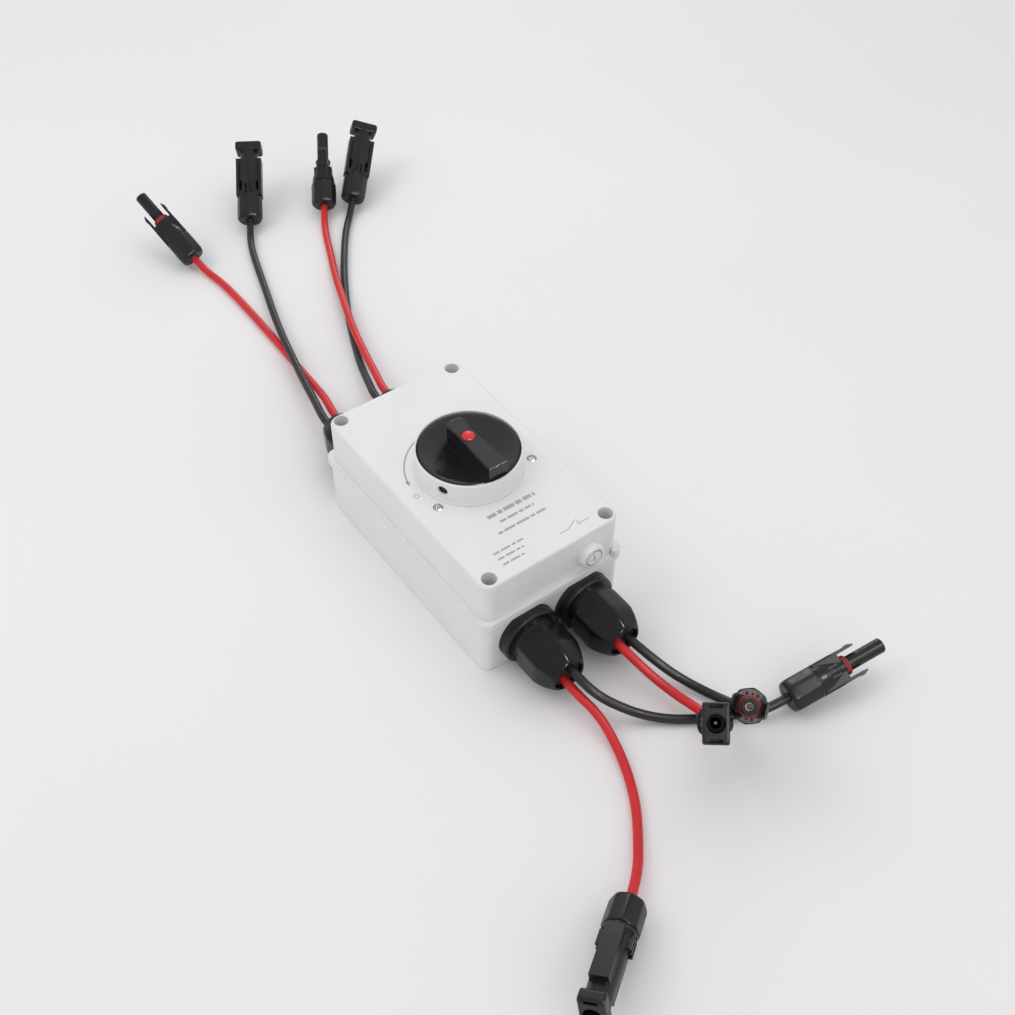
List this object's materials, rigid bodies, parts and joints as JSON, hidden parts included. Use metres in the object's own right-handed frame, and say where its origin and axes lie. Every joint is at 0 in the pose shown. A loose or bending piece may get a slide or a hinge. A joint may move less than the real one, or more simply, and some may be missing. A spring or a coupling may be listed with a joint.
{
  "type": "rotary isolator switch",
  "caption": "Wall-mounted enclosed rotary isolator for solar cabling: knob in a raised collar, domed cable glands at both ends, red and black leads with plug-in connectors.",
  "frame": {"origin": "centre of the enclosure in plan, on the plane of its back face", "axes": "+Z out of the back through the knob, +Y along the enclosure towards the long leads, +X across its width"},
  "size_m": [0.3071, 0.6987, 0.0956],
  "materials": {
    "white_housing": "fine texture",
    "switch_plastic": "matt",
    "black_plastic": "satin",
    "grip_grey": "matt",
    "marker_red": "gloss",
    "black_rubber": "matt",
    "red_rubber": "matt",
    "red_cable": "smooth",
    "black_cable": "smooth",
    "steel": "zinc plated",
    "contact_brass": "tinned"
  },
  "bodies": {
    "housing": {"cable_front_left_black": "black_cable", "cable_front_left_red": "red_cable", "cable_front_right_black": "black_cable", "cable_front_right_red": "red_cable", "cable_rear_left_black": "black_cable", "cable_rear_left_red": "red_cable", "cable_rear_right_black": "black_cable", "cable_rear_right_red": "red_cable", "connector_front_left_black": "black_plastic", "connector_front_left_red": "black_plastic", "connector_front_right_black": "black_plastic", "connector_front_right_red": "black_plastic", "connector_nuts": "black_plastic", "connector_rear_left_black": "black_plastic", "connector_rear_left_red": "black_plastic", "connector_rear_right_black": "black_plastic", "connector_rear_right_red": "black_plastic", "contact_pins": "contact_brass", "contact_sockets": "contact_brass", "din_rail": "steel", "enclosure_base": "white_housing", "enclosure_lid": "white_housing", "fixed_contacts": "contact_brass", "gland_bodies": "black_plastic", "gland_inserts": "black_rubber", "gland_locknuts": "black_plastic", "gland_nut_front_left": "black_plastic", "gland_nut_front_right": "black_plastic", "gland_nut_rear_left": "black_plastic", "gland_nut_rear_right": "black_plastic", "gland_washers": "black_rubber", "guide_screws": "steel", "inner_leads": "black_cable", "knob_collar": "white_housing", "lid_gasket": "black_rubber", "lid_screws": "steel", "mechanism_cover": "switch_plastic", "mechanism_housing": "switch_plastic", "pole_deck_1": "switch_plastic", "pole_deck_2": "switch_plastic", "pole_deck_3": "switch_plastic", "pole_deck_4": "switch_plastic", "probe_seals": "red_rubber", "rail_clip": "switch_plastic", "rail_screws": "steel", "spindle_guide": "white_housing", "terminal_screws": "steel", "tie_screws": "steel", "vent_plug": "white_housing"},
    "handle": {"knob": "black_plastic", "grip_pad": "grip_grey", "knob_marker": "marker_red", "knob_screw": "steel", "drive_shaft": "steel", "shaft_seal": "black_rubber"},
    "contact_rotor": {"contact_spindle": "black_plastic", "drive_cam": "black_plastic", "latch_spring": "steel", "contact_blades": "contact_brass"}
  },
  "joints": [
    {"name": "knob_turn", "type": "hinge", "parent": "housing", "child": "handle", "pos_m": [0, 0, 0.0732], "axis": [0, 0, 1], "range_deg": [0, 90]},
    {"name": "rotor_turn", "type": "hinge", "parent": "housing", "child": "contact_rotor", "pos_m": [0, 0, 0.0163], "axis": [0, 0, 1], "range_deg": [0, 90]}
  ],
  "couplings": [
    {"joint": "rotor_turn", "follows": "knob_turn", "ratio": 1}
  ]
}
